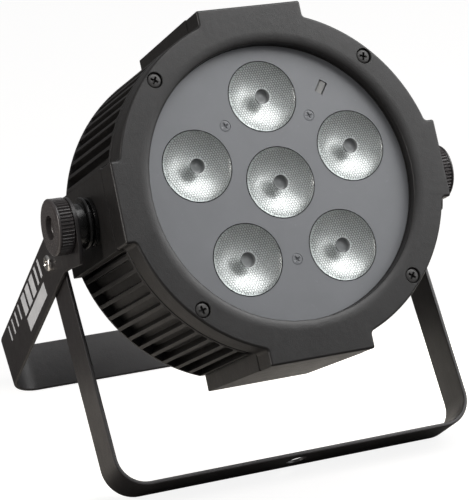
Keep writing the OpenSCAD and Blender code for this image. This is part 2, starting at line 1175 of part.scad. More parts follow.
module driver_board() {
    color(board_green)
        head_frame()
            translate([-40, 24, 0])
                cube([80, 30, board_z]);
}

module driver_parts() {
    color(dark)
        head_frame() {
            for (k = [-1:1])
                translate([20 * k - 5, 34, -4])
                    cube([10, 10, 4]);
            translate([-28, 27, -7])
                cube([56, 5, 7]);
        }
}

module board_standoffs() {
    color(steel)
        head_frame() {
            for (x = [-46, 46])
                for (y = [-46, 12])
                    translate([x, y, board_z])
                        cylinder(r = 3, h = web_back_z - board_z);
            for (x = [-36, 36])
                for (y = [28, 50])
                    translate([x, y, board_z])
                        cylinder(r = 2.6, h = web_back_z - board_z);
        }
}

// ---- safety eye ----

module safety_eye() {
    foot_from = eye_arch_half - eye_metal;
    foot_to = eye_screw_x + 4;
    top_z = plate_z - eye_rise - eye_metal;
    color(steel)
        head_frame()
            difference() {
                translate([0, eye_y - eye_wide / 2, 0]) {
                    for (side = [0, 1])
                        mirror([side, 0, 0]) {
                            translate([foot_from, 0, plate_z - eye_metal])
                                cube([foot_to - foot_from, eye_wide, eye_metal]);
                            translate([foot_from, 0, top_z])
                                cube([eye_metal, eye_wide, eye_rise + eye_metal]);
                        }
                    translate([-eye_arch_half, 0, top_z])
                        cube([2 * eye_arch_half, eye_wide, eye_metal]);
                }
                for (side = [-1, 1])
                    translate([side * eye_screw_x, eye_y, plate_z - 3])
                        cylinder(r = m3_r + 0.1, h = 4);
            }
}

module eye_screws() {
    color(dark)
        head_frame()
            for (side = [-1, 1])
                out_back(side * eye_screw_x, eye_y, plate_z - eye_metal)
                    pan_screw(2.7, 1.8, m3_r, 7);
}

// ---- pivots and clamp knobs ----

module spacers() {
    flange_r = 12.3;
    rim_r = 12.8;
    neck_r = 10.8;
    hub_r = 10;
    bore = stud_r + joint_gap;
    color(black)
        head_frame()
            for (side = [-1, 1])
                sideways(side)
                    rotate_extrude()
                        polygon([
                            [bore, wide_lug_reach],
                            [flange_r, wide_lug_reach],
                            [flange_r, 90.4],
                            [neck_r, 90.6],
                            [neck_r, 91.6],
                            [rim_r, 91.8],
                            [rim_r, 93],
                            [rim_r - 0.4, 93.3],
                            [hub_r, 93.3],
                            [hub_r, spacer_out],
                            [bore, spacer_out]
                        ]);
}

module inserts() {
    color(brass)
        head_frame()
            for (side = [-1, 1])
                sideways(side)
                    translate([0, 0, wide_lug_reach - insert_len])
                        difference() {
                            cylinder(r = insert_r, h = insert_len);
                            translate([0, 0, -1])
                                cylinder(r = stud_r + stud_fit, h = insert_len + 2);
                        }
}

module stud(side) {
    color(steel)
        head_frame()
            sideways(side)
                translate([0, 0, stud_in])
                    cylinder(r = stud_r, h = knob_in + 4 - stud_in);
}

module knob(side) {
    bevel = 1.3;
    flute_r = 0.5;
    recess = 3.2;
    color(black)
        head_frame()
            sideways(side)
                difference() {
                    rotate_extrude()
                        polygon([
                            [stud_r + stud_fit, knob_in],
                            [knob_r - 0.4, knob_in],
                            [knob_r, knob_in + 0.4],
                            [knob_r, knob_out - bevel],
                            [knob_r - 0.5, knob_out - bevel * 0.35],
                            [knob_r - bevel, knob_out],
                            [knob_recess_r + 0.4, knob_out],
                            [knob_recess_r, knob_out - 0.4],
                            [knob_recess_r, knob_out - recess],
                            [0, knob_out - recess],
                            [0, knob_in + 4.1],
                            [stud_r + stud_fit, knob_in + 4.1]
                        ]);
                    for (k = [0:knob_flutes - 1])
                        rotate([0, 0, k * 360 / knob_flutes])
                            translate([knob_r + 0.1, 0, knob_in - 1])
                                cylinder(r = flute_r, h = knob_len - bevel);
                }
}

module stud_left() {
    stud(-1);
}

module knob_left() {
    knob(-1);
}

module stud_right() {
    stud(1);
}

module knob_right() {
    knob(1);
}

// ---- drawing ----

rear_bracket();
bracket_graphic();
hinge_screws();
hinge_nuts();
front_bracket();
bezel();
bezel_screws();
bezel_gasket();
front_panel();
panel_screws();
panel_posts();
receiver_window();
receiver_module();
lenses();
lens_holders();
led_emitters();
led_board();
led_board_screws();
housing();
back_plate();
back_plate_screws();
power_inlet();
inlet_pins();
power_outlet();
socket_screws();
fuse_holder();
fuse_cap();
data_in();
data_in_pins();
data_out();
latch_tab();
usb_socket();
display_window();
display_module();
control_board();
control_switches();
control_standoffs();
button_menu();
button_up();
button_down();
button_enter();
psu_board();
psu_transformer();
psu_capacitors();
psu_heatsink();
driver_board();
driver_parts();
board_standoffs();
safety_eye();
eye_screws();
spacers();
inserts();
stud_left();
knob_left();
stud_right();
knob_right();
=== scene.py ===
"""Par can light: the looks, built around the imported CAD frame."""

import math
import random

import bmesh
import bpy
from mathutils import Euler, Matrix, Vector


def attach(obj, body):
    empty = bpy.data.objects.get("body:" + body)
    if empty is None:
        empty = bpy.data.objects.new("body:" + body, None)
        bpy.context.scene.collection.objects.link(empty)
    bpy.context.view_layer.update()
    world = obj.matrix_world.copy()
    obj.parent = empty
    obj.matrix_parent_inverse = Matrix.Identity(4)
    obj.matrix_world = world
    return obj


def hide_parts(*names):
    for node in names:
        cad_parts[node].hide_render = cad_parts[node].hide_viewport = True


MM = 0.001
TAU = math.tau

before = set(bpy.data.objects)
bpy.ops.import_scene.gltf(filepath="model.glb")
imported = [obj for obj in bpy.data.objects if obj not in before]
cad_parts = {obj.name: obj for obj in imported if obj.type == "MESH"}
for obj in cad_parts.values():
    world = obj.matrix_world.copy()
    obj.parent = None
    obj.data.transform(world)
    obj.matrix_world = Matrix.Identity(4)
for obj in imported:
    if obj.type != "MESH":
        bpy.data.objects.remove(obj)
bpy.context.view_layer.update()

# ---------------------------------------------------------------- dimensions, in millimetres
TILT = 29.7
REAR_LEAN = 42.7
REAR = dict(half=101.2, reach=166.0, strip=27.5, bend=18.0)
FRONT = dict(half=98.9, reach=124.0, strip=23.5, bend=16.0)
STEEL = 2.0
HINGE_DROP = 38.0
FACE_Z = 43.0
LUG_TALL = (28.3, 89.3)
LUG_WIDE = (20.2, 88.3)
BEZEL_R = 85.7
EDGE = 0.8
SCREW_RING = 80.6     # bezel screws: pitch radius
SCREW_SEAT = 39.8     # bottom of the screws' counterbores
POST_RING = 39.0      # panel screws: pitch radius
POST_SEAT = 35.6
POST_ANGLES = (54, 126, 270)
CORNERS = (45, 135, 225, 315)
RECEIVER = dict(ring=55.8, angle=54, half=3.4)
LENS_RING = 44.0
LENS_R = 18.0
LENS_FACE = 36.45
BORE_R = 3.75
KNOB_Z = 101.5        # inner end of the knob along the tilt axis


def rad(a):
    return math.radians(a)


AXIS_Z = REAR["reach"] * math.cos(rad(REAR_LEAN)) + REAR["strip"] / 2 * math.sin(rad(REAR_LEAN))
REAR_BACK = REAR["reach"] * math.sin(rad(REAR_LEAN)) + REAR["strip"] / 2 * math.cos(rad(REAR_LEAN))
HEAD_FRONT = (LUG_TALL[1] - EDGE) * math.sin(rad(TILT)) + FACE_Z * math.cos(rad(TILT))
AXIS_Y = (HEAD_FRONT - REAR_BACK) / 2
HINGE_Y = AXIS_Y + HINGE_DROP * math.sin(rad(REAR_LEAN))
HINGE_Z = AXIS_Z - HINGE_DROP * math.cos(rad(REAR_LEAN))
FOOT = math.hypot(FRONT["reach"], FRONT["strip"] / 2)
FRONT_LEAN = math.degrees(
    math.acos(HINGE_Z / FOOT) + math.atan(FRONT["strip"] / 2 / FRONT["reach"])
)


def frame_matrix(y, z, angle):
    """A frame turned about X, whose own units are millimetres."""
    place = Matrix.Translation((0, y * MM, z * MM))
    return place @ Matrix.Rotation(rad(angle), 4, "X") @ Matrix.Scale(MM, 4)


HEAD_M = frame_matrix(AXIS_Y, AXIS_Z, 90 - TILT)
REAR_M = frame_matrix(AXIS_Y, AXIS_Z, REAR_LEAN)
FRONT_M = frame_matrix(HINGE_Y, HINGE_Z, -FRONT_LEAN)
SIDEWAYS = {s: Matrix.Rotation(rad(90 * s), 4, "Y") for s in (-1, 1)}


# ---------------------------------------------------------------- mesh helpers
def mesh_object(name, bm, matrix, material):
    bm.transform(matrix)
    bmesh.ops.recalc_face_normals(bm, faces=bm.faces)
    mesh = bpy.data.meshes.new(name)
    bm.to_mesh(mesh)
    bm.free()
    obj = bpy.data.objects.new(name, mesh)
    bpy.context.scene.collection.objects.link(obj)
    mesh.materials.append(material)
    return obj


def smooth(obj, angle=40, weighted=True):
    for p in obj.data.polygons:
        p.use_smooth = True
    obj.data.set_sharp_from_angle(angle=rad(angle))
    if weighted:
        m = obj.modifiers.new("weighted", "WEIGHTED_NORMAL")
        m.keep_sharp = True
    return obj


def loft(bm, loops, close=False, cap_first=False, cap_last=False):
    """Joins loops of equal length with quads."""
    rows = [[bm.verts.new(p) for p in loop] for loop in loops]
    pairs = list(zip(rows, rows[1:]))
    if close:
        pairs.append((rows[-1], rows[0]))
    for a, b in pairs:
        n = len(a)
        for i in range(n):
            j = (i + 1) % n
            bm.faces.new((a[i], a[j], b[j], b[i]))
    if cap_first:
        bm.faces.new(list(reversed(rows[0])))
    if cap_last:
        bm.faces.new(rows[-1])
    return rows


def circle(r, z, n, turn=0.0):
    return [
        (r * math.cos(turn + TAU * i / n), r * math.sin(turn + TAU * i / n), z) for i in range(n)
    ]


def lathe(profile, n=96, closed=False, caps=(False, False)):
    bm = bmesh.new()
    loft(bm, [circle(max(r, 1e-4), z, n) for r, z in profile], closed, *caps)
    return bm


def prism(outline, z0, z1, bevel=0.0, segments=2):
    bm = bmesh.new()
    loft(bm, [[(x, y, z) for x, y in outline] for z in (z0, z1)], cap_first=True, cap_last=True)
    if bevel:
        bmesh.ops.recalc_face_normals(bm, faces=bm.faces)
        sharp = [e for e in bm.edges if e.calc_face_angle(0) > rad(35)]
        bmesh.ops.bevel(
            bm, geom=sharp, offset=bevel, segments=segments, profile=0.5,
            affect="EDGES", clamp_overlap=True,
        )
    return bm


def joined(parts):
    """Several bmeshes, each with its own matrix, in one."""
    out = bmesh.new()
    for bm, matrix in parts:
        temp = bpy.data.meshes.new("temp")
        bm.transform(matrix)
        bm.to_mesh(temp)
        bm.free()
        out.from_mesh(temp)
        bpy.data.meshes.remove(temp)
    return out


def cut(obj, cutter_bm, matrix):
    """Takes the cutter away from obj."""
    cutter = mesh_object("cutter", cutter_bm, matrix, obj.data.materials[0])
    m = obj.modifiers.new("cut", "BOOLEAN")
    m.operation = "DIFFERENCE"
    m.solver = "EXACT"
    m.object = cutter
    graph = bpy.context.evaluated_depsgraph_get()
    made = bpy.data.meshes.new_from_object(obj.evaluated_get(graph))
    obj.modifiers.remove(m)
    old = obj.data
    obj.data = made
    made.name = old.name + "-cut"
    bpy.data.meshes.remove(old)
    bpy.data.objects.remove(cutter)
    return obj


def add_piece(obj, body, replaced=()):
    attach(obj, body)
    if replaced:
        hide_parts(*replaced)
    return obj


# ---------------------------------------------------------------- materials
class Nodes:
    """A small wrapper that makes node materials short to write."""

    def __init__(self, name):
        self.mat = bpy.data.materials.new(name)
        self.mat.use_nodes = True
        self.tree = self.mat.node_tree
        self.bsdf = self.tree.nodes["Principled BSDF"]
        self.coord = self.tree.nodes.new("ShaderNodeTexCoord").outputs["Object"]

    def set(self, **values):
        for key, value in values.items():
            self.bsdf.inputs[key.replace("_", " ")].default_value = value
        return self

    def noise(self, size_mm, detail=2.0, rough=0.5):
        n = self.tree.nodes.new("ShaderNodeTexNoise")
        n.inputs["Scale"].default_value = 1 / (size_mm * MM)
        n.inputs["Detail"].default_value = detail
        n.inputs["Roughness"].default_value = rough
        self.tree.links.new(self.coord, n.inputs["Vector"])
        return n.outputs["Fac"]

    def ramp(self, value, stops):
        n = self.tree.nodes.new("ShaderNodeValToRGB")
        ramp = n.color_ramp
        while len(ramp.elements) < len(stops):
            ramp.elements.new(0.5)
        for e, (pos, col) in zip(ramp.elements, stops):
            e.position = pos
            e.color = (*col, 1) if isinstance(col, tuple) else (col, col, col, 1)
        self.tree.links.new(value, n.inputs["Fac"])
        return n.outputs["Color"]

    def mix(self, fac, a, b, blend="MIX"):
        n = self.tree.nodes.new("ShaderNodeMix")
        n.data_type = "RGBA"
        n.blend_type = blend
        for socket, value in zip((n.inputs[0], n.inputs[6], n.inputs[7]), (fac, a, b)):
            if isinstance(value, bpy.types.NodeSocket):
                self.tree.links.new(value, socket)
            elif isinstance(value, tuple):
                socket.default_value = (*value, 1)
            else:
                socket.default_value = value
        return n.outputs[2]

    def to(self, socket, value):
        self.tree.links.new(value, self.bsdf.inputs[socket])
        return self

    def bump(self, height, depth_mm, before=None, strength=1.0):
        n = self.tree.nodes.new("ShaderNodeBump")
        n.inputs["Distance"].default_value = depth_mm * MM
        n.inputs["Strength"].default_value = strength
        self.tree.links.new(height, n.inputs["Height"])
        if before is not None:
            self.tree.links.new(before, n.inputs["Normal"])
        self.tree.links.new(n.outputs["Normal"], self.bsdf.inputs["Normal"])
        return n.outputs["Normal"]


def powder(name, low, high, rough=(0.42, 0.56), grain=0.55, depth=0.05):
    """Powder coat: a fine orange-peel grain, soft patches and faint dust."""
    m = Nodes(name)
    base = m.ramp(m.noise(22, 3, 0.6), [(0.3, low), (0.7, high)])
    dust = m.ramp(m.noise(2.4, 5, 0.75), [(0.62, 0.0), (0.85, 1.0)])
    base = m.mix(dust, base, tuple(min(1, c * 1.35) for c in high))
    m.to("Base Color", base)
    m.to("Roughness", m.ramp(m.noise(9, 4, 0.65), [(0.25, rough[0]), (0.75, rough[1])]))
    first = m.bump(m.noise(grain, 3, 0.6), depth)
    m.bump(m.noise(3.2, 2), depth * 1.2, first)
    return m.mat


def plastic(name, low, high, rough=(0.35, 0.5), grain=0.35, depth=0.02):
    m = Nodes(name)
    m.to("Base Color", m.ramp(m.noise(8, 3), [(0.3, low), (0.7, high)]))
    m.to("Roughness", m.ramp(m.noise(3, 4, 0.7), [(0.3, rough[0]), (0.7, rough[1])]))
    m.bump(m.noise(grain, 2), depth)
    return m.mat


def metal(name, low, high, rough=(0.16, 0.34), grain=0.5, depth=0.006, metallic=1.0):
    m = Nodes(name)
    m.set(Metallic=metallic)
    m.to("Base Color", m.ramp(m.noise(3, 3), [(0.3, low), (0.7, high)]))
    m.to("Roughness", m.ramp(m.noise(1.6, 4, 0.7), [(0.3, rough[0]), (0.7, rough[1])]))
    m.bump(m.noise(grain, 2), depth)
    return m.mat


M_POWDER = powder("powder_coat", (0.0120, 0.0112, 0.0110), (0.0160, 0.0150, 0.0145), (0.36, 0.46))
M_BRACKET = powder("bracket_coat", (0.0150, 0.0132, 0.0134), (0.0195, 0.0172, 0.0175), (0.34, 0.44))
M_PLATE = powder("plate_coat", (0.014, 0.0135, 0.0135), (0.019, 0.018, 0.018))
M_PANEL = powder(
    "panel_coat", (0.176, 0.182, 0.192), (0.192, 0.198, 0.209), (0.36, 0.44), 0.5, 0.012
)
M_KNOB = plastic("knob_plastic", (0.050, 0.044, 0.044), (0.066, 0.059, 0.059), (0.20, 0.30))
M_BUSH = plastic("bush_plastic", (0.006, 0.006, 0.006), (0.010, 0.010, 0.010), (0.20, 0.32))
M_PLASTIC = plastic("black_plastic", (0.010, 0.010, 0.011), (0.017, 0.017, 0.018))
M_RUBBER = plastic("rubber", (0.008, 0.008, 0.008), (0.014, 0.014, 0.014), (0.6, 0.8))
M_NICKEL = metal("nickel", (0.62, 0.60, 0.57), (0.80, 0.78, 0.75), (0.10, 0.22))
M_STEEL = metal("steel", (0.50, 0.50, 0.50), (0.66, 0.66, 0.65), (0.24, 0.40))
M_ALU = metal("aluminium", (0.55, 0.55, 0.55), (0.68, 0.68, 0.68), (0.3, 0.5))
M_BRASS = metal("brass", (0.58, 0.42, 0.18), (0.70, 0.53, 0.25), (0.2, 0.36))
M_COPPER = metal("copper", (0.50, 0.22, 0.09), (0.66, 0.32, 0.14), (0.3, 0.5))
M_SCREW = powder(
    "screw_black", (0.030, 0.028, 0.027), (0.042, 0.040, 0.038), (0.34, 0.46), 0.3, 0.01
)
M_PSCREW = powder(
    "panel_screw", (0.160, 0.166, 0.175), (0.178, 0.184, 0.194), (0.34, 0.42), 0.5, 0.010
)
M_PRINT = plastic("print_white", (0.60, 0.62, 0.64), (0.72, 0.73, 0.75), (0.4, 0.55))
M_BOARD = plastic("board", (0.015, 0.10, 0.045), (0.03, 0.16, 0.08), (0.25, 0.4))
M_WHITE = plastic("led_white", (0.60, 0.60, 0.58), (0.74, 0.74, 0.70), (0.25, 0.4))


def clear_material(name, tint, rough, ior=1.49):
    m = Nodes(name)
    m.set(Roughness=rough, IOR=ior, Transmission_Weight=1.0)
    pale = tuple(min(1, c + 0.03) for c in tint)
    m.to("Base Color", m.ramp(m.noise(6, 2), [(0.3, tint), (0.7, pale)]))
    return m.mat


def bead_material(name, stops):
    """Clear beads: see-through where they face the eye; where they turn away, a dark grey is
    painted in as shade that stands in for the beads' refraction.
    """
    m = Nodes(name)
    low, high = (0.120, 0.125, 0.122), (0.155, 0.162, 0.158)
    m.to("Base Color", m.ramp(m.noise(5, 3), [(0.3, low), (0.7, high)]))
    m.to("Roughness", m.ramp(m.noise(2, 3), [(0.3, 0.10), (0.7, 0.18)]))
    facing = m.tree.nodes.new("ShaderNodeLayerWeight")
    # painted shade: the facing ramp makes the dark base colour opaque on the bead slopes
    m.to("Alpha", m.ramp(facing.outputs["Facing"], stops))
    return m.mat


M_LENS = bead_material("lens_beads", [(0.05, 0.0), (0.27, 0.36), (0.46, 0.90)])
M_RIM = bead_material("lens_rim", [(0.05, 0.35), (0.50, 0.60)])
M_WINDOW = clear_material("window", (0.35, 0.34, 0.36), 0.05)
M_COVER = plastic(
    "receiver_cover", (0.24, 0.24, 0.235), (0.30, 0.30, 0.29), (0.08, 0.14), 0.8, 0.004
)
M_BOWL = metal("collimator", (0.80, 0.84, 0.83), (0.90, 0.93, 0.92), (0.30, 0.42), 1.1, 0.05, 0.78)
M_BORE = plastic("lens_bore", (0.20, 0.21, 0.21), (0.28, 0.29, 0.29), (0.10, 0.20), 1.1, 0.02)

# ---------------------------------------------------------------- brackets
CORNER = ((1, 0), (0.293, 0.293), (0, 1))


def strip_section(outer, inward, y0, y1, edge=0.45):
    """One cross-section of the strip: outer is the point on its outer face."""
    e = min(edge, (y1 - y0) * 0.45)
    flat = [(y0 + e * a, e * b) for a, b in CORNER]
    flat += [(y0 + e * b, STEEL - e * a) for a, b in CORNER]
    flat += [(y1 - e * a, STEEL - e * b) for a, b in CORNER]
    flat += [(y1 - e * b, e * a) for a, b in CORNER]
    return [(outer[0] + inward[0] * d, y, outer[1] + inward[1] * d) for y, d in flat]


def bracket(name, half, reach, strip, bend, matrix, ends, material):
    """A bent strip: ends lists (height, y low, y high) from the top of an arm downwards."""
    y0, y1 = -strip / 2, strip / 2
    left = [((-half, z), (1, 0), lo, hi) for z, lo, hi in ends]
    left += [((-half, -z), (1, 0), y0, y1) for z in (40, 60, 85, reach - bend - 8, reach - bend)]
    for k in range(1, 12):
        a = math.pi + math.pi / 2 * k / 12
        c = (-half + bend, -reach + bend)
        p = (c[0] + bend * math.cos(a), c[1] + bend * math.sin(a))
        left.append((p, (-math.cos(a), -math.sin(a)), y0, y1))
    left += [((x, -reach), (0, 1), y0, y1) for x in (-half + bend, -half + bend + 10, -20)]
    right = [((-p[0], p[1]), (-n[0], n[1]), a, b) for p, n, a, b in reversed(left)]
    bm = bmesh.new()
    loft(bm, [strip_section(*s) for s in left + right], cap_first=True, cap_last=True)
    obj = mesh_object(name, bm, matrix, material)
    bore = [(6.1, -1.0), (6.1, 0), (5.5, 0.45), (5.5, 1.55), (6.1, 2), (6.1, 3)]
    hole = lathe(bore, 64, caps=(True, True))
    cut(obj, hole, matrix @ Matrix.Translation((0, 0, -reach)))
    return smooth(obj, 50)


def round_end(r, lo, hi, start=0.0):
    out = []
    for k in range(1, 11):
        z = r * math.sin(math.pi / 2 * (1 - k / 10) * 0.985)
        if z < start:
            break
        w = math.sqrt(r * r - z * z)
        out.append((z, max(-w, lo), min(w, hi)))
    return out


def rear_ends():
    """The rounded tab at the top of each rear arm, drawn out towards the back."""
    return [
        (13.9, -1.2, 1.2), (13.2, -4.6, 4.6), (12.0, -7.2, 7.2), (10.2, -11.0, 9.6),
        (8.4, -14.6, 11.2), (7.0, -16.9, 12.1), (4.8, -19.4, 13.1), (2.8, -21.5, 13.6),
        (1.7, -22.4, 13.75),
        (0.7, -22.6, 13.75), (-0.6, -22.2, 13.75), (-8.0, -19.3, 13.75), (-15.2, -16.5, 13.75),
        (-17.0, -15.85, 13.75), (-22.6, -14.0, 13.75), (-24.6, -13.75, 13.75),
    ]


rear = bracket(
    "rear_yoke", REAR["half"], REAR["reach"], REAR["strip"], REAR["bend"], REAR_M,
    rear_ends(), M_BRACKET,
)
add_piece(rear, "stand", ["rear_bracket"])
half_front = FRONT["strip"] / 2
front_ends = [(11.7, -1.0, 1.0)] + round_end(half_front, -half_front, half_front, 0.0)
front_ends += [(-3.0, -half_front, half_front)]
front = bracket(
    "front_yoke", FRONT["half"], FRONT["reach"], FRONT["strip"], FRONT["bend"], FRONT_M,
    front_ends, M_BRACKET,
)
add_piece(front, "front_leg", ["front_bracket"])


# ---------------------------------------------------------------- bezel
def arc(cx, cy, r, a0, a1, n):
    turns = [rad(a0 + (a1 - a0) * i / n) for i in range(n + 1)]
    return [(cx + r * math.cos(t), cy + r * math.sin(t)) for t in turns]


def lugged_outline(r, tall, wide, fillet=2.2, corner=1.2):
    """The bezel's outline: a circle with a square lug on each side, corners rounded."""
    th, tr = tall
    wh, wr = wide
    cx = math.sqrt((r + fillet) ** 2 - (wh + fillet) ** 2)
    cy = math.sqrt((r + fillet) ** 2 - (th + fillet) ** 2)
    a_wide = math.degrees(math.atan2(wh + fillet, cx))
    a_tall = math.degrees(math.atan2(cy, th + fillet))
    q = [(wr, 0.0), (wr, wh * 0.5)]
    q += arc(wr - corner, wh - corner, corner, 0, 90, 4)
    q += arc(cx, wh + fillet, fillet, 270, 180 + a_wide, 5)
    q += arc(0, 0, r, a_wide, a_tall, 40)[1:-1]
    q += arc(th + fillet, cy, fillet, 180 + a_tall, 180, 5)
    q += arc(th - corner, tr - corner, corner, 0, 90, 4)
    q += [(th * 0.5, tr), (0.0, tr)]
    upper = q + [(-x, y) for x, y in reversed(q[:-1])]
    return upper + [(x, -y) for x, y in reversed(upper[1:-1])]


def inset(outline, d):
    """The outline moved inwards by d."""
    if not d:
        return list(outline)
    out = []
    n = len(outline)
    for i, (x, y) in enumerate(outline):
        (xa, ya), (xb, yb) = outline[i - 1], outline[(i + 1) % n]
        tx, ty = xb - xa, yb - ya
        size = math.hypot(tx, ty) or 1.0
        out.append((x - ty / size * d, y + tx / size * d))
    return out


def bezel():
    outline = lugged_outline(BEZEL_R, LUG_TALL, LUG_WIDE)
    angles = [math.atan2(y, x) for x, y in outline]

    def ring(r, z):
        return [(r * math.cos(a), r * math.sin(a), z) for a in angles]

    def edge(d, z):
        return [(x, y, z) for x, y in inset(outline, d)]

    loops = [ring(75.2, 28.0), edge(0.5, 28.0), edge(0.15, 28.15), edge(0, 28.5), edge(0, 41.7)]
    loops += [edge(0.09, 42.15), edge(0.34, 42.58), edge(0.72, 42.87), edge(1.2, 43.0)]
    for k in range(13):
        t = math.pi / 2 * k / 12
        loops.append(ring(75.6 - 5.4 * math.sin(t), 41.6 + 1.4 * math.cos(t)))
    loops += [ring(70.2, 37.45), ring(70.35, 37.3), ring(75.2, 37.3)]
    bm = bmesh.new()
    loft(bm, loops, close=True)
    obj = mesh_object("front_bezel", bm, HEAD_M, M_POWDER)
    bore = [(1.9, 20), (1.9, SCREW_SEAT), (3.95, SCREW_SEAT)]
    bore += [(3.95, 42.75), (4.35, 43.1), (4.35, 45)]
    for a in CORNERS:
        spot = Matrix.Rotation(rad(a), 4, "Z") @ Matrix.Translation((SCREW_RING, 0, 0))
        cut(obj, lathe(bore, 48, caps=(True, True)), HEAD_M @ spot)
    return smooth(obj, 35)


add_piece(bezel(), "head", ["bezel"])


# ---------------------------------------------------------------- housing
GROOVE_FLOOR = 82.0
RIB_PITCH = 4.8
RIBS = 12


def groove_list():
    """(angle, half-width) of each groove round the housing."""
    first = -(RIBS // 2)
    quarter = [(45 + RIB_PITCH * first - 1.55, 1.0)]
    quarter += [(45 + RIB_PITCH * (k + 0.5), 2.5) for k in range(first, first + RIBS - 1)]
    out = list(quarter)
    out += [(180 - a, w) for a, w in reversed(quarter)]
    out += [(180 + a, w) for a, w in quarter]
    out += [(360 - a, w) for a, w in reversed(quarter)]
    return out


def housing_loop(z, outer, share, deep):
    """One level of the ribbed wall: share scales the grooves' width, deep is 0 or 1."""
    points = []
    for angle, half in groove_list():
        w = max(half * share, 0.03)
        e = min(0.38, w)
        f = min(0.5, w * 0.45)
        floor = GROOVE_FLOOR if deep else outer
        lip = 0.38 if deep else 0.0
        side = [
            (outer, w + e), (outer - lip * 0.3, w + e * 0.3), (outer - lip, w),
            (floor + (f if deep else 0), w), (floor + (f * 0.3 if deep else 0), w - f * 0.3),
            (floor, w - f),
        ]
        both = [(r, -t) for r, t in side] + [(r, t) for r, t in reversed(side)]
        ca, sa = math.cos(rad(angle)), math.sin(rad(angle))
        for r, t in both:
            x = math.sqrt(r * r - t * t)
            points.append((x * ca - t * sa, x * sa + t * ca, z))
    return points


def housing():
    def outer_at(z):
        return 87.0 - (z + 41.5) / 69.5

    angles = [math.atan2(y, x) for x, y, _ in housing_loop(0, 86, 1, 0)]

    def ring(r, z):
        return [(r * math.cos(a), r * math.sin(a), z) for a in angles]

    loops = [ring(77.0, 28.0), housing_loop(28.0, 85.3, 0, 0), housing_loop(27.85, 85.75, 0, 0)]
    loops += [
        housing_loop(27.5, outer_at(27.5), 0, 0),
        housing_loop(26.52, outer_at(26.5), 0.01, 0),
    ]
    for k in range(7):
        a = math.pi / 2 * k / 6
        share = max(math.cos(math.pi / 2 - a), 0.02)
        loops.append(housing_loop(24 + 2.5 * math.cos(a), outer_at(24), share, 1))
    for z in (10, -6, -22, -39.0):
        loops.append(housing_loop(z, outer_at(z), 1, 1))
    loops += [
        housing_loop(-39.45, outer_at(-39.4), 0.94, 1),
        housing_loop(-39.5, outer_at(-39.5), 0.9, 0),
        housing_loop(-41.0, 87.0, 0.9, 0),
        housing_loop(-41.38, 86.85, 0.9, 0),
        housing_loop(-41.5, 86.5, 0.9, 0),
        ring(77.3, -41.5),
        ring(77.0, -41.2),
    ]
    bm = bmesh.new()
    loft(bm, loops, close=True)
    parts = [(bm, Matrix.Identity(4))]
    inner = 77.4
    for half, reach, turns in ((28.6, LUG_TALL[1], (90, 270)), (20.5, LUG_WIDE[1], (0, 180))):
        a = math.degrees(math.asin(half / inner))
        plan = [(reach, -half), (reach, -half / 2), (reach, 0), (reach, half / 2), (reach, half)]
        plan += arc(0, 0, inner, a, -a, 10)
        for turn in turns:
            parts.append((prism(plan, -43.0, 27.9, 0.45), Matrix.Rotation(rad(turn), 4, "Z")))
    obj = mesh_object("ribbed_housing", joined(parts), HEAD_M, M_POWDER)
    return smooth(obj, 35)


add_piece(housing(), "head", ["housing"])


# ---------------------------------------------------------------- knobs and spacers
FLUTE = (0, 0, 0.25, 0.85, 1, 1, 0.85, 0.25)


def fluted(r, z, depth, flutes=48, per=8):
    points = []
    for i in range(flutes * per):
        valley = FLUTE[i % per]
        a = TAU * i / (flutes * per)
        q = r - depth * valley
        points.append((q * math.cos(a), q * math.sin(a), z))
    return points


def knob(name, side):
    z0 = KNOB_Z
    loops = [fluted(13.0, z0, 0), fluted(13.7, z0 + 0.05, 0.2), fluted(14.1, z0 + 0.45, 1.0)]
    loops += [fluted(14.15, z0 + 6.1, 1.0), fluted(14.0, z0 + 6.45, 0.7)]
    loops += [fluted(13.75, z0 + 6.5, 0.12)]
    loops += [fluted(13.7, z0 + 6.75, 0), fluted(14.0, z0 + 6.85, 0), fluted(14.2, z0 + 7.0, 0)]
    loops += [fluted(14.25, z0 + 7.4, 0), fluted(14.05, z0 + 7.75, 0), fluted(13.5, z0 + 8.15, 0)]
    loops += [fluted(12.9, z0 + 8.36, 0), fluted(12.3, z0 + 8.4, 0), fluted(7.0, z0 + 8.34, 0)]
    loops += [fluted(6.3, z0 + 8.3, 0), fluted(6.0, z0 + 8.15, 0), fluted(5.9, z0 + 7.8, 0)]
    loops += [fluted(5.8, z0 + 5.5, 0), fluted(5.4, z0 + 5.1, 0), fluted(1.0, z0 + 4.9, 0)]
    bm = bmesh.new()
    loft(bm, loops, cap_first=True, cap_last=True)
    obj = mesh_object(name, bm, HEAD_M @ SIDEWAYS[side], M_KNOB)
    return smooth(obj, 42)


for side, word in ((-1, "left"), (1, "right")):
    add_piece(knob("clamp_knob_" + word, side), word + "_knob", ["knob_" + word])
    profile = [
        (4.4, 88.3), (12.0, 88.3), (12.3, 88.6), (12.3, 90.1), (12.0, 90.4), (11.0, 90.6),
        (10.8, 90.8), (10.8, 91.4), (11.1, 91.6), (12.4, 91.8), (12.8, 92.1), (12.8, 92.8),
        (12.5, 93.2), (11.8, 93.3), (10.3, 93.4), (10.0, 93.7), (10.0, 98.6), (9.8, 98.9),
        (4.4, 98.9),
    ]
    turned = lathe(profile, 96, closed=True)
    bush = mesh_object("spacer_" + word, turned, HEAD_M @ SIDEWAYS[side], M_BUSH)
    add_piece(smooth(bush, 40), "head", ["spacers"])


# ---------------------------------------------------------------- screws
def cross_cutter(span, slot, depth):
    parts = []
    for turn in (0, 90):
        bm = bmesh.new()
        rings = []
        foot = (-depth, span * 0.34, slot * 0.7)
        for z, s, w in (foot, (0.0, span, slot), (1.5, span * 1.2, slot * 1.1)):
            corners = ((s / 2, w / 2), (-s / 2, w / 2), (-s / 2, -w / 2), (s / 2, -w / 2))
            rings.append([(x, y, z) for x, y in corners])
        loft(bm, rings, cap_first=True, cap_last=True)
        parts.append((bm, Matrix.Rotation(rad(turn), 4, "Z")))
    return parts


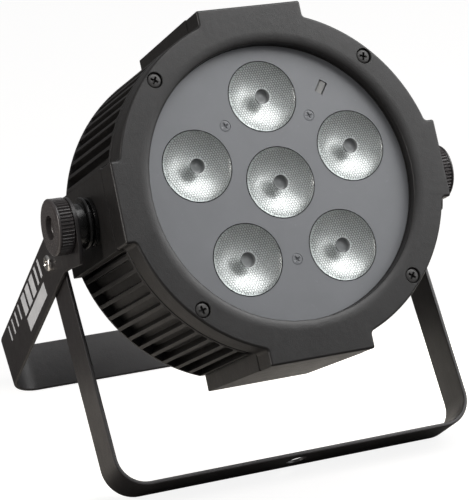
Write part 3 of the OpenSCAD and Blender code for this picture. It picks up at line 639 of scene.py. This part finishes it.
def screw(name, r, h, span, slot, depth, shank, matrix, material, dome=1.0):
    profile = [(shank[0], -shank[1]), (shank[0], 0), (r, 0)]
    curve = ((1, 0.58), (0.975, 0.42), (0.9, 0.24), (0.76, 0.1), (0.5, 0.02), (0.2, 0), (0.001, 0))
    profile += [(r * a, h * (1 - drop * dome)) for a, drop in curve]
    obj = mesh_object(name, lathe(profile, 48, caps=(True, True)), matrix, material)
    for bm, turn in cross_cutter(span, slot, depth):
        cut(obj, bm, matrix @ Matrix.Translation((0, 0, h)) @ turn)
    return smooth(obj, 35)


rng = random.Random(7)
for k, a in enumerate(CORNERS):
    spot = Matrix.Rotation(rad(a), 4, "Z") @ Matrix.Translation((SCREW_RING, 0, SCREW_SEAT))
    spot = spot @ Matrix.Rotation(rad(rng.uniform(0, 90)), 4, "Z")
    s = screw(f"bezel_screw_{k}", 3.6, 2.6, 4.4, 1.15, 2.0, (1.6, 24), HEAD_M @ spot, M_SCREW, 0.4)
    add_piece(s, "head", ["bezel_screws"])
for side, word in ((-1, "left"), (1, "right")):
    spot = Matrix.Translation((side * REAR["half"], 0, -HINGE_DROP)) @ SIDEWAYS[side]
    spot = spot @ Matrix.Rotation(rad(20 + 25 * side), 4, "Z")
    s = screw("hinge_screw_" + word, 4.25, 2.6, 5.0, 1.25, 1.7, (2.5, 9), REAR_M @ spot, M_NICKEL)
    add_piece(s, "stand", ["hinge_screws"])
for k, a in enumerate(POST_ANGLES):
    spot = Matrix.Rotation(rad(a), 4, "Z") @ Matrix.Translation((POST_RING, 0, POST_SEAT))
    spot = spot @ Matrix.Rotation(rad(15 - a + 7 * k), 4, "Z")
    size = (2.75, 0.8, 3.7, 0.95, 0.75, (1.5, 8))
    s = screw(f"panel_screw_{k}", *size, HEAD_M @ spot, M_PSCREW, 0.3)
    add_piece(s, "head", ["panel_screws"])


# ---------------------------------------------------------------- receiver
SECTION = [(-2.15, 34.0), (-2.15, 35.2), (-1.3, 36.1), (1.3, 36.1), (2.15, 35.2), (2.15, 34.0)]
ALONG_X = Matrix(((0, 0, 1, 0), (1, 0, 0, 0), (0, 1, 0, 0), (0, 0, 0, 1)))
spot = Matrix.Rotation(rad(RECEIVER["angle"]), 4, "Z")
spot = spot @ Matrix.Translation((RECEIVER["ring"], 0, 0)) @ ALONG_X
cover = prism(SECTION, -RECEIVER["half"], RECEIVER["half"], 0.15)
receiver = mesh_object("receiver_cover", cover, HEAD_M @ spot, M_COVER)
add_piece(smooth(receiver, 35), "head", ["receiver_window"])


# ---------------------------------------------------------------- lenses
BEAD = 1.35


def bead_field(r_in, r_out, z, height):
    """A hexagonal field of small domes between two radii."""
    bm = bmesh.new()
    a = BEAD / math.sqrt(3)
    rows = int(r_out / (BEAD * 0.866)) + 2
    levels = ((0.42, 0.80), (0.75, 0.38), (1.0, 0.0))
    for j in range(-rows, rows + 1):
        for i in range(-rows - 2, rows + 3):
            cx = BEAD * (i + 0.5 * (j % 2))
            cy = BEAD * 0.866 * j
            d = math.hypot(cx, cy)
            if d > r_out - 0.35 or d < r_in + 0.35:
                continue
            top = bm.verts.new((cx, cy, z + height))
            last = None
            for share, lift in levels:
                ring = []
                for k in range(6):
                    t = rad(30 + 60 * k)
                    x, y = cx + a * share * math.cos(t), cy + a * share * math.sin(t)
                    q = math.hypot(x, y)
                    if q > r_out:
                        x, y = x * r_out / q, y * r_out / q
                    if q < r_in:
                        x, y = x * r_in / q, y * r_in / q
                    ring.append(bm.verts.new((x, y, z + height * lift)))
                for k in range(6):
                    m = (k + 1) % 6
                    if last is None:
                        bm.faces.new((top, ring[k], ring[m]))
                    else:
                        bm.faces.new((last[k], ring[k], ring[m], last[m]))
                last = ring
    bmesh.ops.remove_doubles(bm, verts=bm.verts, dist=0.02)
    return bm


def lens_meshes(matrix, index):
    field = bead_field(BORE_R, LENS_R - 0.15, 36.52, 0.42)
    front = mesh_object(f"lens_front_{index}", field, matrix, M_LENS)
    smooth(front, 32, weighted=False)
    rim_profile = [
        (17.75, LENS_FACE), (17.8, 36.75), (17.88, 36.86), (17.96, 36.8), (LENS_R, 36.6),
        (LENS_R, 34.7), (17.9, 34.5), (17.3, 34.4),
    ]
    rim = mesh_object(f"lens_rim_{index}", lathe(rim_profile, 96), matrix, M_RIM)
    smooth(rim, 40, weighted=False)
    bowl_profile = [
        (17.8, LENS_FACE), (17.4, 35.9), (16.0, 34.95), (14.0, 33.85), (12.0, 32.95), (10.0, 32.2),
        (8.0, 31.65), (6.0, 31.25), (3.0, 31.0), (0.01, 30.9),
    ]
    bowl = mesh_object(f"lens_body_{index}", lathe(bowl_profile, 72), matrix, M_BOWL)
    smooth(bowl, 60, weighted=False)
    bore_profile = [
        (3.8, 36.35), (3.85, 36.7), (3.72, 36.8), (3.6, 36.5), (3.5, 35.1), (3.2, 34.7),
        (2.2, 34.5), (1.0, 34.6), (0.01, 34.65),
    ]
    bore = mesh_object(f"lens_bore_{index}", lathe(bore_profile, 48), matrix, M_BORE)
    smooth(bore, 40, weighted=False)
    return front, rim, bowl, bore


spots = [(0.0, 0.0)]
for k in range(5):
    a = rad(90 + 72 * k)
    spots.append((LENS_RING * math.cos(a), LENS_RING * math.sin(a)))
for index, (x, y) in enumerate(spots):
    for part in lens_meshes(HEAD_M @ Matrix.Translation((x, y, 0)), index):
        add_piece(part, "head", ["lenses"])


# ---------------------------------------------------------------- CAD nodes that stay
FINISH = (
    (M_PRINT, "bracket_graphic"),
    (M_NICKEL, "hinge_nuts inlet_pins data_in_pins usb_socket"),
    (M_RUBBER, "bezel_gasket"),
    (M_PANEL, "front_panel"),
    (
        M_STEEL,
        "panel_posts led_board_screws latch_tab control_standoffs board_standoffs "
        "safety_eye stud_left stud_right",
    ),
    (
        M_PLASTIC,
        "receiver_module lens_holders power_inlet power_outlet fuse_holder fuse_cap "
        "data_in data_out display_module button_menu button_up button_down button_enter "
        "psu_capacitors driver_parts",
    ),
    (M_WHITE, "led_emitters led_board"),
    (M_PLATE, "back_plate"),
    (M_SCREW, "back_plate_screws socket_screws eye_screws"),
    (M_WINDOW, "display_window"),
    (M_BOARD, "control_board psu_board driver_board"),
    (M_ALU, "control_switches psu_heatsink"),
    (M_COPPER, "psu_transformer"),
    (M_BRASS, "inserts"),
)
for material, names in FINISH:
    for name in names.split():
        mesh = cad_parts[name].data
        mesh.materials.clear()
        mesh.materials.append(material)

# ---------------------------------------------------------------- floor, light and camera
floor_bm = bmesh.new()
corners = [floor_bm.verts.new(p) for p in ((-5, -5, 0), (5, -5, 0), (5, 7, 0), (-5, 7, 0))]
floor_bm.faces.new(corners)
pale = Nodes("floor_pale")
pale.set(Roughness=0.7, Specular_IOR_Level=0.2, Emission_Color=(0.88, 0.88, 0.88, 1))
place = pale.tree.nodes.new("ShaderNodeSeparateXYZ")
shift = pale.tree.nodes.new("ShaderNodeMapping")
shift.inputs["Location"].default_value = (0.5, 0.5, 0.5)
pale.tree.links.new(pale.coord, shift.inputs["Vector"])
pale.tree.links.new(shift.outputs["Vector"], place.inputs["Vector"])
# Painted floor light: the floor's base colour is dark (painted shade: a contact shadow and less
# bounce) except for a narrow warm band under the head (painted glow), whose bounce paints a beige
# reflection on the underside of the head's bottom pad.
FLOOR_PAINTED_SHADE, FLOOR_PAINTED_GLOW = (0.13, 0.125, 0.12), (1.0, 0.94, 0.85)
painted_floor_light = pale.ramp(place.outputs["Y"], [(0.44, FLOOR_PAINTED_SHADE), (0.46, FLOOR_PAINTED_GLOW), (0.55, FLOOR_PAINTED_GLOW), (0.60, FLOOR_PAINTED_SHADE)])
pale.to("Base Color", painted_floor_light)
rays = pale.tree.nodes.new("ShaderNodeLightPath")
pale.to("Emission Strength", rays.outputs["Is Camera Ray"])
floor = mesh_object("floor", floor_bm, Matrix.Identity(4), pale.mat)

world = bpy.data.worlds.new("studio")
bpy.context.scene.world = world
world.use_nodes = True
wt = world.node_tree
room = wt.nodes["Background"]
backdrop = wt.nodes.new("ShaderNodeBackground")
backdrop.inputs["Color"].default_value = (1, 1, 1, 1)
coord = wt.nodes.new("ShaderNodeTexCoord")
split = wt.nodes.new("ShaderNodeSeparateXYZ")
wt.links.new(coord.outputs["Generated"], split.inputs["Vector"])


def sky_ramp(axis, stops):
    ramp = wt.nodes.new("ShaderNodeValToRGB")
    for e, (pos, v) in zip(ramp.color_ramp.elements, stops):
        e.position = pos
        e.color = (v, v, v * 1.01, 1)
    wt.links.new(split.outputs[axis], ramp.inputs["Fac"])
    return ramp.outputs["Color"]


blend = wt.nodes.new("ShaderNodeMix")
blend.data_type = "RGBA"
blend.blend_type = "MULTIPLY"
blend.inputs[0].default_value = 1.0
wt.links.new(sky_ramp("Z", [(0.0, 0.35), (1.0, 0.75)]), blend.inputs[6])
wt.links.new(sky_ramp("X", [(0.0, 0.44), (0.9, 1.0)]), blend.inputs[7])
wt.links.new(blend.outputs[2], room.inputs["Color"])
path = wt.nodes.new("ShaderNodeLightPath")
pick = wt.nodes.new("ShaderNodeMixShader")
wt.links.new(path.outputs["Is Camera Ray"], pick.inputs[0])
wt.links.new(room.outputs[0], pick.inputs[1])
wt.links.new(backdrop.outputs[0], pick.inputs[2])
wt.links.new(pick.outputs[0], wt.nodes["World Output"].inputs["Surface"])


def softbox(name, place, aim, size, power):
    data = bpy.data.lights.new(name, "AREA")
    data.shape = "RECTANGLE"
    data.size, data.size_y = size
    data.energy = power
    obj = bpy.data.objects.new(name, data)
    obj.location = place
    obj.rotation_euler = (Vector(aim) - Vector(place)).to_track_quat("-Z", "Y").to_euler()
    bpy.context.scene.collection.objects.link(obj)
    return obj


TARGET = (0, -0.02, 0.13)
softbox("key", (0.42, -0.30, 1.30), TARGET, (1.0, 0.9), 10)
softbox("right_fill", (0.85, -0.36, 0.80), TARGET, (0.8, 0.8), 7)
strip = softbox("left_strip", (-1.10, -0.12, 0.40), TARGET, (0.14, 0.9), 5.5)
strip.data.color = (1.0, 0.95, 0.91)

camera_data = bpy.data.cameras.new("camera")
camera_data.lens = 150.0
camera_data.sensor_width = 36.0
camera_data.clip_start = 0.05
camera = bpy.data.objects.new("camera", camera_data)
camera.location = (-0.42752, AXIS_Y * MM - 0.911658, AXIS_Z * MM + 0.331454)
camera.rotation_euler = Euler((rad(70.3698), 0, rad(-24.5779)), "XYZ")
bpy.context.scene.collection.objects.link(camera)
bpy.context.scene.camera = camera
bpy.context.scene.view_settings.view_transform = "Standard"
